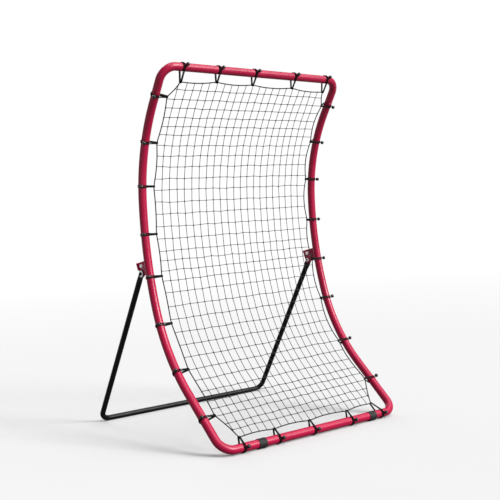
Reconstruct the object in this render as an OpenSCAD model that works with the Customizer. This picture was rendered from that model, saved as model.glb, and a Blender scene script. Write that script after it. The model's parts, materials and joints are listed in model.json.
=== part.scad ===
// Bowed rebounding net for pitching practice: a red steel tube frame, a knotted net hung
// in it on elastic ball loops, and a black rear leg frame that folds on two bracket pivots.
// Millimetres. X runs across the frame, Y to the back, Z up. The ball comes from -Y.

/* [Frame] */
// Outside width over the two side tubes
frame_w = 914; // [800:1:1100]
// Height of the top rail's upper side above the ground
frame_h = 1426; // [1400:1:1560]
// Outside diameter of the frame tube
tube_d = 32; // [30:0.5:38]
// Wall of the frame tube
tube_wall = 1.2; // [1:0.1:2]
// Centreline radius of the four corners
corner_r = 55; // [50:1:60]
// Length of each rail's arms, from the rail's axis to the joint
arm_len = 100; // [98:1:110]
// Distance along the side from the bottom rail to the middle joint
mid_joint = 850; // [845:1:870]
// Length that a swaged end reaches into the next tube
spigot_len = 40; // [34:1:42]

/* [Side curve] */
// Length of the straight foot of each side
foot_len = 270; // [240:1:300]
// Lean of the foot, back from upright
foot_lean = 47; // [44:0.5:49]
// Radius of the lower bow
low_bow_r = 680; // [640:5:720]
// Lean where the lower bow ends
low_lean = 16; // [14:0.5:18]
// Lean where the middle bow ends
mid_lean = -1; // [-2:0.5:1]
// Radius of the upper bow
top_bow_r = 680; // [640:5:720]
// Lean of the straight tip
top_lean = -33; // [-35:0.5:-30]
// Length of the straight tip, which holds the upper joint
tip_len = 152; // [145:1:170]

/* [Legs] */
// Outside diameter of the leg tube
leg_d = 22; // [20:0.5:25]
// Wall of the leg tube
leg_wall = 1.2; // [1:0.1:2]
// Distance from the bottom rail's axis back to the rear bar's axis
leg_spread = 871; // [820:1:900]
// Centreline radius of the bend at each leg's foot
leg_bend_r = 40; // [34:1:50]
// Distance from the side plane to the joint in the rear bar
leg_joint_in = 72; // [65:1:90]
// Thickness of each leg's flattened end
tang_t = 3; // [2.5:0.5:4]
// Width of the flattened end
tang_w = 33; // [28:0.5:34]
// Length that the flattened end reaches past its pivot
tang_over = 14; // [11:0.5:15]
// Length of the flattened end below its pivot
tang_len = 20; // [16:1:26]
// Length over which the leg tube flattens
crimp_len = 26; // [20:1:34]

/* [Brackets] */
// Thickness of the bracket plate
plate_t = 4; // [3:0.5:5]
// Distance along the side from the bottom rail to the pivot
pivot_up = 778; // [774:1:784]
// Distance of the pivot behind the side tube's axis
pivot_back = 60; // [56:1:66]
// Radius of the plate's lobe around the pivot
lobe_r = 15; // [14:0.5:17]
// Height of the plate's top edge above the pivot
plate_up = 46; // [44:1:52]
// Height of the plate's lower front corner above the pivot
plate_low = 9; // [8:0.5:14]
// Distance of the plate's rear edge behind the pivot
plate_rear = 25; // [22:1:30]
// Width of the folded lip on the rear edge
lip_w = 5; // [4:0.5:6]
// Height of the upper bolt above the pivot
upper_bolt_up = 30; // [28:0.5:33]
// Distance of the upper bolt in front of the pivot
upper_bolt_front = 6; // [2:0.5:9]

/* [Fasteners] */
// Diameter of the bolt shanks
bolt_d = 8; // [6:0.5:8]
// Width across the flats of bolt heads and nuts
hex_w = 13; // [11:0.5:13]
// Thickness of the bolt heads
head_t = 5.3; // [4:0.1:6]
// Thickness of the nuts
nut_t = 6.5; // [5:0.1:7]
// Outside diameter of the pivot washers
washer_d = 26; // [22:0.5:27]
// Thickness of the pivot washers
washer_t = 1.6; // [1:0.1:2.5]
// Diameter of the snap buttons in the frame
button_d = 7; // [6:0.5:8]
// Diameter of the snap buttons in the rear bar
leg_button_d = 5; // [4.5:0.5:5.5]
// Height that a snap button stands proud of its tube
button_proud = 3; // [2.5:0.1:3.5]
// Thickness of the spring strip behind a button
strip_t = 0.8; // [0.6:0.1:1]

/* [Foot sleeves] */
// Length of each rubber sleeve
sleeve_len = 36; // [30:1:42]
// Distance from the side tubes' axes in to the middle of a sleeve, before both have slipped
sleeve_in = 156; // [152:1:160]
// Depth of the worn flat under each sleeve
flat_cut = 0.5; // [0.3:0.1:0.8]

/* [Net] */
// Distance of the net's surface in front of the side tubes' axes
net_forward = 12; // [8:1:14]
// Strand width and thickness of the net
strand = 2.5; // [2:0.1:3]
// Number of gaps across the net
net_columns = 12; // [8:1:12]
// Number of flat panels up the net
net_panels = 12; // [8:1:12]
// Diameter of the border rope
rope_d = 5; // [4:0.5:6]
// Depth that the border rope draws in between two loops
rope_sag = 7; // [4:1:9]

/* [Elastic loops] */
// Diameter of the elastic cord
cord_d = 3; // [2.5:0.1:3.5]
// Distance between a loop's two strands
strand_gap = 7; // [6:0.5:8]
// Diameter of the balls
ball_d = 15; // [13:0.5:17]
// Distance from a side tube's axis in to the border rope
side_reach = 44; // [42:1:50]
// Distance from the top rail's axis down to the border rope
top_reach = 44; // [42:1:50]
// Distance from the bottom rail's axis up to the border rope
bottom_reach = 36; // [36:1:50]
// Extra reach of the loops next to the corners
corner_reach = 10; // [8:1:14]

/* [Hidden] */
$fn = 72;

// Clearances
fit_gap = 0.1;      // spigot in its tube, button in its hole
pin_gap = 0.05;     // bolt in its hole
face_gap = 0.2;     // leg end between the plate and the washer
soft_gap = 0.2;     // elastic cord around a tube, ball against its cord
rope_gap = 0.3;     // border rope in a loop and beside the net
ground_gap = 0.3;   // elastic loops above the ground
cut = 1;            // overrun of a cutting body
seam_gap = 0.1;     // between a stretch's end and the seam
seam_len = 1;       // seam ring to each side of its seam
seam_over = 0.1;    // seam ring's extra radius
flank_in = 0.1;     // straight flank of a loop or a tang inside its circles' tangent
panel_gap = 0.1;    // between two panels of the net

// Places of each side's four lower loops up from the bottom rail, and of its four upper ones
// down from the top rail, measured along the side tube. They slide, so no two are quite alike.
LEFT_LOW_LOOPS = [146, 365, 564, 755];
LEFT_HIGH_LOOPS = [665, 478, 306, 117];
RIGHT_LOW_LOOPS = [167, 380, 592, 771];
RIGHT_HIGH_LOOPS = [636, 454, 284, 114];
// Distance that both sleeves have slipped to the right along the rail
sleeve_slip = 18;
// Distance of a sleeve's outer circle below the rail's axis, which thins the wall above the rail
sleeve_drop = 1.2;

// Tube sizes
tube_r = tube_d / 2;
bore_r = tube_r - tube_wall;
spigot_r = bore_r - fit_gap;
spigot_bore_r = spigot_r - tube_wall;
leg_r = leg_d / 2;
leg_bore_r = leg_r - leg_wall;
leg_spigot_r = leg_bore_r - fit_gap;
leg_spigot_bore_r = leg_spigot_r - leg_wall;
neck = 2 * tube_wall;            // solid shoulder where a tube's end is swaged down
side_x = frame_w / 2 - tube_r;   // axis plane of each side tube and leg

// Places across of each rail's five loops, the outer two measured in from the side planes, and the
// share of corner_reach that each one gives
TOP_LOOPS = [[82 - side_x, 1], [-194, 0], [-12, 0], [195, 0], [side_x - 69, 1]];
BOTTOM_LOOPS = [[89 - side_x, 0], [-188, 0], [-12, 0], [188, 0.2], [side_x - 84, 1]];

// Loops: the cord's rings around a tube, and the balls that close them
cord_in_r = tube_r + soft_gap;
cord_out_r = cord_in_r + cord_d;
side_ball_at = cord_out_r + soft_gap + ball_d / 2;
side_ball_turn = 50;             // from straight outward towards the front
// The rails' balls lie on the tube, to the right of their rings
rail_ball_at = tube_r + soft_gap + ball_d / 2;
rail_ball_beside = (strand_gap + cord_d) / 2
    + sqrt(pow(soft_gap + ball_d / 2, 2) - pow(rail_ball_at - cord_out_r, 2));
top_ball_turn = 20;              // from straight forward upwards
bottom_ball_turn = 15;
rope_r = rope_d / 2;

// Ground contact and the origin: the part's box is centred on X and Y
sleeve_wall = cord_d + soft_gap + ground_gap + flat_cut;
rail_z = tube_r + sleeve_wall - flat_cut;
front_reach = rail_ball_at * cos(bottom_ball_turn) + ball_d / 2;
rear_reach = leg_r + button_proud;
rail_y = front_reach - (front_reach + leg_spread + rear_reach) / 2;
bar_y = rail_y + leg_spread;

// Side curve in the Y-Z plane. A lean is the angle back from upright.
function up(lean) = [sin(lean), cos(lean)];
function ahead(lean) = [-cos(lean), sin(lean)];
function bow_end(start, r, from, to) = start + r * (ahead(from) - ahead(to));
function bow_len(r, from, to) = r * (from - to) * PI / 180;
function bow_rise(r, from, to) = r * (sin(from) - sin(to));
// The middle bow takes up the height that the other stretches leave
mid_rise = frame_h - tube_r - rail_z - foot_len * cos(foot_lean) - bow_rise(low_bow_r, foot_lean, low_lean)
    - bow_rise(top_bow_r, mid_lean, top_lean) - tip_len * cos(top_lean);
mid_bow_r = mid_rise / bow_rise(1, low_lean, mid_lean);
foot_start = [rail_y, rail_z];
low_start = foot_start + foot_len * up(foot_lean);
mid_start = bow_end(low_start, low_bow_r, foot_lean, low_lean);
top_start = bow_end(mid_start, mid_bow_r, low_lean, mid_lean);
tip_start = bow_end(top_start, top_bow_r, mid_lean, top_lean);
s_low = foot_len;
s_mid = s_low + bow_len(low_bow_r, foot_lean, low_lean);
s_top = s_mid + bow_len(mid_bow_r, low_lean, mid_lean);
s_tip = s_top + bow_len(top_bow_r, mid_lean, top_lean);
side_len = s_tip + tip_len;
// Each stretch: its start and end along the side, its first point, first lean and radius
STRETCHES = [
    [0, s_low, foot_start, foot_lean, 0],
    [s_low, s_mid, low_start, foot_lean, low_bow_r],
    [s_mid, s_top, mid_start, low_lean, mid_bow_r],
    [s_top, s_tip, top_start, mid_lean, top_bow_r],
    [s_tip, side_len, tip_start, top_lean, 0],
];
function stretch_of(s, k = 0) =
    k == len(STRETCHES) - 1 || s < STRETCHES[k][1] ? STRETCHES[k] : stretch_of(s, k + 1);
function lean_at(s) =
    let (g = stretch_of(s)) g[4] == 0 ? g[3] : g[3] - (s - g[0]) / g[4] * 180 / PI;
function axis_at(s) =
    let (g = stretch_of(s))
    g[4] == 0 ? g[2] + (s - g[0]) * up(g[3]) : bow_end(g[2], g[4], g[3], lean_at(s));

top_joint = side_len - arm_len;
top_y = axis_at(side_len)[0];
top_z = frame_h - tube_r;

// Brackets, pivots and legs
pivot_lean = lean_at(pivot_up);
pivot = axis_at(pivot_up) - pivot_back * ahead(pivot_lean);
leg_top = pivot - [bar_y, leg_r];
leg_lean = atan2(leg_top[0], leg_top[1]);
leg_len = norm(leg_top);
leg_joint_x = side_x - leg_joint_in;
plate_x = side_x - tang_t / 2 - face_gap;    // outer face of the plate
washer_x = side_x + tang_t / 2 + face_gap;   // inner face of the washer
hex_r = hex_w / 2 / cos(30);
bolt_r = bolt_d / 2;
thread_over = 1.5;                           // bolt end past its nut

// Snap buttons, 20 mm past each joint in the frame
button_at = spigot_len / 2;
button_r = button_d / 2;
leg_button_r = leg_button_d / 2;
flange_over = 1.5;
flange_t = 1.2;

// Net: half width and ends
rope_x = side_x - side_reach;
straight = strand_gap / 2 + 1.5 * cord_d;    // rope runs straight this far to each side of a loop
rope_clear = rope_r + rope_gap;
net_half = rope_x - rope_sag - rope_clear;
mid_share = 0.6;                             // largest mean share of two neighbouring loops
net_end = rope_clear + rope_gap + max(corner_reach + cord_d, mid_share * corner_reach + rope_sag);
net_low = bottom_reach + net_end;
net_high = side_len - top_reach - net_end;
panel_s = (net_high - net_low) / net_panels;
rows_per_panel = 2;

function surface_at(s) = axis_at(s) + net_forward * ahead(lean_at(s));
function point_at(x, s) = let (p = surface_at(s)) [x, p[0], p[1]];
function normal_at(s) = let (n = ahead(lean_at(s))) [0, n[0], n[1]];

// Where the rope passes each loop: place across, and place along the side
function side_tips(low, high) = [for (s = concat(low, [for (d = high) side_len - d])) [-rope_x, s]];
function rail_tips(loops, s, inward) = [for (l = loops) [l[0], s + inward * l[1] * corner_reach]];
left_tips = side_tips(LEFT_LOW_LOOPS, LEFT_HIGH_LOOPS);
right_tips = side_tips(RIGHT_LOW_LOOPS, RIGHT_HIGH_LOOPS);   // mirrored to the right where they are used
top_tips = rail_tips(TOP_LOOPS, side_len - top_reach, -1);
bottom_tips = rail_tips(BOTTOM_LOOPS, bottom_reach, 1);

// The rope's diagonal runs at the corners, each as drawn on the right and upwards
function low_run(rail, side) = [[abs(rail[0]) + straight, rail[1]], [rope_x, side[1] - straight]];
function high_run(side, rail) = [[rope_x, side[1] + straight], [abs(rail[0]) + straight, rail[1]]];
left_runs = [low_run(bottom_tips[0], left_tips[0]), high_run(left_tips[7], top_tips[0])];
right_runs = [low_run(bottom_tips[4], right_tips[0]), high_run(right_tips[7], top_tips[4])];

// ---- placing ----

// Draws in the Y-Z plane, with the extrusion along X
module side_plane(x = 0) {
    translate([x, 0, 0]) rotate([90, 0, 90]) children();
}

// Plane through a rail: local X is X and local Y runs up the side at the lean
module rail_plane(y, z, lean) {
    translate([0, y, z]) rotate([90 - lean, 0, 0]) children();
}

// On the right side tube's axis: local Y points back and local Z along the tube
module on_tube(s) {
    p = axis_at(s);
    translate([side_x, p[0], p[1]]) rotate([-lean_at(s), 0, 0]) children();
}

module left() {
    mirror([1, 0, 0]) children();
}

// ---- tubes ----

// Solid rod along the right side curve. Neighbouring stretches end just short of each
// other, and a ring a hair thicker than the rod closes the seam between them.
module side_rod(from, to, r) {
    for (g = STRETCHES) {
        a = max(from, g[0] + seam_gap);
        b = min(to, g[1] - seam_gap);
        if (b > a) side_plane(side_x) stretch_rod(a, b, r, g[4]);
        if (from < g[0] - seam_len && g[0] + seam_len < to)
            on_tube(g[0]) cylinder(h = 2 * seam_len, r = r + seam_over, center = true);
    }
}

module stretch_rod(from, to, r, bow_r) {
    start = axis_at(from);
    lean = lean_at(from);
    if (bow_r == 0) {
        translate(start) rotate([0, 0, -lean]) rotate([-90, 0, 0]) cylinder(h = to - from, r = r);
    } else {
        translate(start + bow_r * ahead(lean))
            rotate([0, 0, -lean])
            rotate_extrude(angle = (to - from) / bow_r * 180 / PI) translate([bow_r, 0]) circle(r);
    }
}

// Solid rod from x_from out to a corner and on to y_to, in a rail's plane
module bent_rod(r, bend_r, x_from, y_to) {
    translate([x_from, 0, 0]) rotate([0, 90, 0]) cylinder(h = side_x - bend_r - x_from, r = r);
    translate([side_x - bend_r, bend_r, 0])
        rotate([0, 0, -90]) rotate_extrude(angle = 90) translate([bend_r, 0]) circle(r);
    translate([side_x, bend_r, 0]) rotate([-90, 0, 0]) cylinder(h = y_to - bend_r, r = r);
}

module both_sides() {
    children();
    left() children();
}

module button_hole(s) {
    on_tube(s) rotate([-90, 0, 0]) cylinder(h = tube_r + cut, r = button_r + fit_gap);
}

module top_rail() {
    color("crimson") difference() {
        rail_plane(top_y, top_z, top_lean + 180) both_sides() bent_rod(tube_r, corner_r, 0, arm_len);
        rail_plane(top_y, top_z, top_lean + 180) both_sides() bent_rod(bore_r, corner_r, 0, arm_len + cut);
        both_sides() button_hole(top_joint + button_at);
    }
}

module bottom_rail() {
    color("crimson") difference() {
        rail_plane(rail_y, rail_z, foot_lean) both_sides() {
            bent_rod(tube_r, corner_r, 0, arm_len);
            spigot_rod(spigot_r, arm_len, arm_len + spigot_len);
        }
        rail_plane(rail_y, rail_z, foot_lean) both_sides() {
            bent_rod(bore_r, corner_r, 0, arm_len - neck);
            spigot_rod(spigot_bore_r, arm_len - neck - cut, arm_len + spigot_len + cut);
        }
        both_sides() button_hole(arm_len + button_at);
    }
}

module spigot_rod(r, from, to) {
    translate([side_x, from, 0]) rotate([-90, 0, 0]) cylinder(h = to - from, r = r);
}

// Side tube from one joint to the next, open below and swaged at its upper end
module side_tube(from, to) {
    color("crimson") difference() {
        union() {
            side_rod(from, to, tube_r);
            side_rod(to - neck / 2, to + spigot_len, spigot_r);
        }
        side_rod(from - cut, to - neck, bore_r);
        side_rod(to - neck - cut, to + spigot_len + cut, spigot_bore_r);
        button_hole(from + button_at);
        button_hole(to + button_at);
    }
}

module right_upper_side_tube() {
    side_tube(mid_joint, top_joint);
}

module left_upper_side_tube() {
    left() right_upper_side_tube();
}

module right_lower_side_tube() {
    side_tube(arm_len, mid_joint);
}

module left_lower_side_tube() {
    left() right_lower_side_tube();
}

// ---- brackets and their fasteners ----

// Plane of the plate: local X points back and local Y up the tube, from the pivot
module pivot_plane(x) {
    translate([x, pivot[0], pivot[1]]) rotate([90, 0, 90]) rotate([0, 0, -pivot_lean]) children();
}

// Point where a line from p touches the circle about the pivot, on the side given by turn
function touch(p, r, turn) =
    let (d = norm(p), base = atan2(p[1], p[0]), open = acos(r / d)) r * [cos(base + turn * open), sin(base + turn * open)];

plate_back_top = [plate_rear, plate_up];
plate_front_low = [-pivot_back, plate_low];
lip_base = touch(plate_back_top, lobe_r, -1);
lip_run = plate_back_top - lip_base;
lip_share = 0.6;

module plate_outline() {
    circle(lobe_r);
    polygon([
        [-pivot_back, plate_up], plate_back_top, lip_base,
        touch(plate_front_low, lobe_r, 1), plate_front_low,
    ]);
}

module right_bracket() {
    color("firebrick") difference() {
        union() {
            pivot_plane(plate_x - plate_t) linear_extrude(plate_t) plate_outline();
            pivot_plane(plate_x - plate_t)
                translate(plate_back_top)
                rotate([0, 0, atan2(lip_run[1], lip_run[0])])
                translate([-lip_share * norm(lip_run), 0, 0])
                cube([lip_share * norm(lip_run), plate_t, plate_t + lip_w]);
        }
        side_rod(pivot_up - 2 * plate_up, pivot_up + 2 * plate_up, tube_r);
        pivot_plane(plate_x - plate_t - cut) cylinder(h = plate_t + 2 * cut, r = bolt_r + pin_gap);
        pivot_plane(plate_x - plate_t - cut)
            translate([-upper_bolt_front, upper_bolt_up]) cylinder(h = plate_t + 2 * cut, r = bolt_r + pin_gap);
    }
}

module left_bracket() {
    left() right_bracket();
}

// Hexagon bolt along -X, with the underside of its head at the origin
module bolt(grip) {
    cylinder(h = head_t, r = hex_r, $fn = 6);
    translate([0, 0, -grip - nut_t - thread_over]) cylinder(h = grip + nut_t + thread_over, r = bolt_r);
}

module nut() {
    difference() {
        cylinder(h = nut_t, r = hex_r, $fn = 6);
        translate([0, 0, -cut]) cylinder(h = nut_t + 2 * cut, r = bolt_r + pin_gap);
    }
}

module pivot_bolts() {
    grip = washer_x + washer_t - (plate_x - plate_t);
    color("dimgray") both_sides() pivot_plane(washer_x + washer_t) bolt(grip);
}

module pivot_washers() {
    color("silver") both_sides() pivot_plane(washer_x) difference() {
        cylinder(h = washer_t, r = washer_d / 2);
        translate([0, 0, -cut]) cylinder(h = washer_t + 2 * cut, r = bolt_r + pin_gap);
    }
}

module pivot_nuts() {
    color("silver") both_sides() pivot_plane(plate_x - plate_t - nut_t) nut();
}

module bracket_bolts() {
    color("silver") both_sides()
        pivot_plane(plate_x) translate([-upper_bolt_front, upper_bolt_up]) bolt(plate_t);
}

module bracket_bolt_nuts() {
    color("silver") both_sides()
        pivot_plane(plate_x - plate_t - nut_t) translate([-upper_bolt_front, upper_bolt_up]) nut();
}

// ---- leg frame ----

// The leg plane's origin is on the rear bar's axis, and its Y runs up the leg
module leg_plane() {
    rail_plane(bar_y, leg_r, leg_lean) children();
}

module leg_button_hole() {
    translate([leg_joint_x - button_at, bar_y, leg_r])
        rotate([-90, 0, 0]) cylinder(h = leg_r + cut, r = leg_button_r + fit_gap);
}

// Flattened end, flaring to its width and rounded at the tip
module tang() {
    half = tang_w / 2;
    from = leg_len - tang_len - crimp_len;
    round_at = leg_len + tang_over - half;
    translate([side_x, 0, 0]) rotate([0, 90, 0]) linear_extrude(tang_t, center = true) {
        polygon([
            [-leg_r + tang_t, from], [flank_in - half, leg_len - tang_len], [flank_in - half, round_at],
            [half - flank_in, round_at], [half - flank_in, leg_len - tang_len], [leg_r - tang_t, from],
        ]);
        translate([0, round_at]) circle(half);
    }
}

// Round tube flattening to the tang: a rod cut by two planes that close in on the tang
module crimp() {
    from = leg_len - tang_len - crimp_len;
    intersection() {
        translate([side_x, from, 0]) rotate([-90, 0, 0]) cylinder(h = crimp_len, r = leg_r);
        translate([side_x, from, -leg_d]) linear_extrude(2 * leg_d) polygon([
            [-leg_r, 0], [leg_r, 0], [tang_t / 2, crimp_len], [-tang_t / 2, crimp_len],
        ]);
    }
}

module right_leg() {
    crimp_at = leg_len - tang_len - crimp_len;
    color("dimgray") difference() {
        leg_plane() {
            bent_rod(leg_r, leg_bend_r, leg_joint_x, crimp_at);
            translate([leg_joint_x - spigot_len, 0, 0])
                rotate([0, 90, 0]) cylinder(h = spigot_len, r = leg_spigot_r);
            crimp();
            tang();
        }
        leg_plane() {
            bent_rod(leg_bore_r, leg_bend_r, leg_joint_x + neck, crimp_at - neck);
            translate([leg_joint_x - spigot_len - cut, 0, 0])
                rotate([0, 90, 0]) cylinder(h = spigot_len + neck + 2 * cut, r = leg_spigot_bore_r);
            translate([side_x - tang_t, leg_len, 0])
                rotate([0, 90, 0]) cylinder(h = 2 * tang_t, r = bolt_r + pin_gap);
        }
        leg_button_hole();
    }
}

module left_leg() {
    left() right_leg();
}

module rear_bar() {
    color("dimgray") difference() {
        translate([0, bar_y, leg_r]) rotate([0, 90, 0]) cylinder(h = 2 * leg_joint_x, r = leg_r, center = true);
        translate([0, bar_y, leg_r])
            rotate([0, 90, 0]) cylinder(h = 2 * (leg_joint_x + cut), r = leg_bore_r, center = true);
        both_sides() leg_button_hole();
    }
}

// ---- rubber sleeves ----

module foot_sleeve(x) {
    color("darkslategray") difference() {
        translate([x, rail_y, rail_z - sleeve_drop])
            rotate([0, 90, 0]) cylinder(h = sleeve_len, r = tube_r + sleeve_wall - sleeve_drop, center = true);
        translate([x, rail_y, rail_z])
            rotate([0, 90, 0]) cylinder(h = sleeve_len + 2 * cut, r = tube_r, center = true);
        translate([x, rail_y, -sleeve_len])
            cube(2 * sleeve_len, center = true);
    }
}

// ---- snap buttons and their springs ----

// Height of a button's flange under the bore's wall
function flange_top(bore, r) = sqrt(bore * bore - pow(r + flange_over, 2)) - rope_gap;

// Button that points along +Y out of a tube whose axis is Z
module button(r, outer_r, bore) {
    top = flange_top(bore, r);
    color("silver") rotate([-90, 0, 0]) {
        translate([0, 0, top - flange_t]) cylinder(h = flange_t, r = r + flange_over);
        translate([0, 0, top - flange_t]) cylinder(h = outer_r + button_proud - r - top + flange_t, r = r);
        translate([0, 0, outer_r + button_proud - r]) sphere(r);
    }
}

// Bent strip whose upper arm carries the button and whose lower arm bears on the far wall
module button_spring(r, bore) {
    high = flange_top(bore, r) - flange_t - fit_gap;
    low = sqrt(bore * bore - r * r) - soft_gap;
    over = 2 * r;
    reach = 10 * r;
    color("gray") rotate([0, -90, 0]) linear_extrude(1.6 * r, center = true) polygon([
        [over, high], [-reach, strip_t], [-reach, -strip_t], [over, -low],
        [over, -low + strip_t], [-reach + 4 * strip_t, 0], [over, high - strip_t],
    ]);
}

module frame_button(s) {
    on_tube(s + button_at) button(button_r, tube_r, spigot_bore_r);
}

module frame_spring(s) {
    on_tube(s + button_at) button_spring(button_r, spigot_bore_r);
}

// In the rear bar: local Z along the bar towards its middle and local Y to the back
module in_rear_bar() {
    translate([leg_joint_x - button_at, bar_y, leg_r]) rotate([0, -90, 0]) children();
}

module rear_right_button() {
    in_rear_bar() button(leg_button_r, leg_r, leg_spigot_bore_r);
}

module rear_right_button_spring() {
    in_rear_bar() button_spring(leg_button_r, leg_spigot_bore_r);
}

// ---- net and border rope ----

// Outline of panel i on its chord plane, from a little before its start to past its end
module panel_outline(i, inset) {
    over = 2 * strand;
    low = net_low + i * panel_s - over;
    high = low + panel_s + 2 * over;
    translate([0, -low - over]) difference() {
        translate([inset - net_half, low]) square([2 * (net_half - inset), high - low]);
        for (run = right_runs) if (run[0][1] < high && run[1][1] > low) past_rope(run, inset);
        left() for (run = left_runs) if (run[0][1] < high && run[1][1] > low) past_rope(run, inset);
    }
}

// Everything on the outer side of a diagonal run of the rope, and the inset and clearance within it
module past_rope(run, inset) {
    way = run[1] - run[0];
    translate(run[0]) rotate([0, 0, atan2(way[1], way[0])])
        translate([-frame_w, rope_clear + inset - frame_w]) square([2 * frame_w, frame_w]);
}

// Flat lattice panel between two rows of knots, mitred to its neighbours
module net_panel(i) {
    a = net_low + i * panel_s;
    b = a + panel_s;
    p = surface_at(a);
    q = surface_at(b);
    chord = norm(q - p);
    chord_lean = atan2(q[0] - p[0], q[1] - p[1]);
    half = strand / 2;
    gap = panel_gap / 2 * (q - p) / chord;
    column = 2 * net_half / net_columns;
    row = chord / rows_per_panel;
    difference() {
        intersection() {
            side_plane(-net_half) linear_extrude(2 * net_half) polygon([
                p + gap - half * ahead(lean_at(a)), q - gap - half * ahead(lean_at(b)),
                q - gap + half * ahead(lean_at(b)), p + gap + half * ahead(lean_at(a)),
            ]);
            rail_plane(p[0], p[1], chord_lean) linear_extrude(2 * strand, center = true) panel_outline(i, 0);
        }
        rail_plane(p[0], p[1], chord_lean) linear_extrude(2 * strand, center = true) intersection() {
            panel_outline(i, strand);
            for (c = [0:net_columns - 1], r = [0:rows_per_panel - 1])
                translate([-net_half + c * column + half, r * row + half]) square([column - strand, row - strand]);
        }
    }
}

module net() {
    color("black") for (i = [0:net_panels - 1]) net_panel(i);
}

// The rope's way round the net: straight through each loop, drawn in between two loops
function pair(tip, run) = [tip - straight * run, tip + straight * run];
function between(a, b, pull) = (a + b) / 2 + pull;
function run_of(tips, run, pull) = [
    for (k = [0:len(tips) - 1]) each concat(
        pair(tips[k], run),
        k < len(tips) - 1 ? [between(tips[k], tips[k + 1], pull)] : [])
];
function flip(points) = [for (k = [len(points) - 1:-1:0]) [-points[k][0], points[k][1]]];
left_way = run_of(left_tips, [0, 1], [rope_sag, 0]);
right_way = run_of(right_tips, [0, 1], [rope_sag, 0]);
top_way = run_of(top_tips, [1, 0], [0, -rope_sag]);
bottom_way = run_of(bottom_tips, [1, 0], [0, rope_sag]);
reversed_bottom = [for (k = [len(bottom_way) - 1:-1:0]) bottom_way[k]];
WAY = concat(left_way, top_way, flip(right_way), reversed_bottom);
ROPE_POINTS = [for (w = WAY) point_at(w[0], w[1])];
rope_sides = 8;

function ring(k) =
    let (
        n = len(WAY),
        ahead_point = ROPE_POINTS[(k + 1) % n],
        last_point = ROPE_POINTS[(k + n - 1) % n],
        along = (ahead_point - last_point) / norm(ahead_point - last_point),
        out = normal_at(WAY[k][1]),
        side = cross(along, out) / norm(cross(along, out))
    )
    [for (j = [0:rope_sides - 1])
        ROPE_POINTS[k] + rope_r * (cos(360 * j / rope_sides) * out + sin(360 * j / rope_sides) * side)];

module border_rope() {
    n = len(WAY);
    m = rope_sides;
    color("black") polyhedron(
        points = [for (k = [0:n - 1]) each ring(k)],
        faces = [
            for (k = [0:n - 1], j = [0:m - 1])
            let (
                a = k * m + j,
                b = k * m + (j + 1) % m,
                c = ((k + 1) % n) * m + (j + 1) % m,
                d = ((k + 1) % n) * m + j
            )
            each [[a, b, c], [a, c, d]]
        ]);
}

// ---- elastic loops ----

// Drop outline: a circle about the tube, a small one about the rope and their tangents
module drop(big, small, reach) {
    open = acos((big - small) / reach);
    a = big - flank_in;
    b = small - flank_in;
    circle(big);
    translate([reach, 0]) circle(small);
    polygon([
        a * [cos(open), sin(open)], a * [cos(open), -sin(open)],
        [reach, 0] + b * [cos(open), -sin(open)], [reach, 0] + b * [cos(open), sin(open)],
    ]);
}

// One loop: two cord strands around tube and rope, joined where the ball holds them
module loop(reach, ball_turn) {
    for (side = [-1, 1])
        translate([0, 0, side * strand_gap / 2]) linear_extrude(cord_d, center = true) difference() {
            drop(cord_out_r, rope_clear + cord_d, reach);
            drop(cord_in_r, rope_clear, reach);
        }
    rotate([0, 0, ball_turn]) translate([cord_in_r + cord_d / 2, 0, 0])
        cube([cord_d * 0.8, cord_d, strand_gap], center = true);
}

module ball(turn, from_axis, beside) {
    rotate([0, 0, turn]) translate([from_axis, 0, beside]) sphere(ball_d / 2);
}

// Loops stand square to their tube: their X points to the rope and Z along the tube
side_tip = [side_reach, -net_forward];
side_tip_turn = atan2(side_tip[1], side_tip[0]);

module at_side_loops(tips) {
    for (tip = tips) {
        p = axis_at(tip[1]);
        translate([-side_x, p[0], p[1]]) rotate([-lean_at(tip[1]), 0, 0]) rotate([0, 0, side_tip_turn]) children();
    }
}

module at_rail_loop(x, y, z, tip) {
    translate([x, y, z]) rotate([90, 0, 90]) rotate([0, 0, atan2(tip[1], tip[0])]) children();
}

function rail_tip(tip, s_rail) = surface_at(tip[1]) - axis_at(s_rail);

module side_loops(tips) {
    color("black") at_side_loops(tips) loop(norm(side_tip), 180 + side_ball_turn - side_tip_turn);
}

module side_loop_balls(tips) {
    color("black") at_side_loops(tips) ball(180 + side_ball_turn - side_tip_turn, side_ball_at, 0);
}

module rail_loops(tips, y, z, s_rail, ball_up, balls) {
    for (tip = tips) {
        v = rail_tip(tip, s_rail);
        turn = 180 - ball_up - atan2(v[1], v[0]);
        at_rail_loop(tip[0], y, z, v) {
            if (balls) ball(turn, rail_ball_at, rail_ball_beside);
            else loop(norm(v), turn);
        }
    }
}

module top_loops() {
    color("black") rail_loops(top_tips, top_y, top_z, side_len, top_ball_turn, false);
}

module top_loop_balls() {
    color("black") rail_loops(top_tips, top_y, top_z, side_len, top_ball_turn, true);
}

module bottom_loops() {
    color("black") rail_loops(bottom_tips, rail_y, rail_z, 0, bottom_ball_turn, false);
}

module bottom_loop_balls() {
    color("black") rail_loops(bottom_tips, rail_y, rail_z, 0, bottom_ball_turn, true);
}

// ---- the nodes ----

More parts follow.
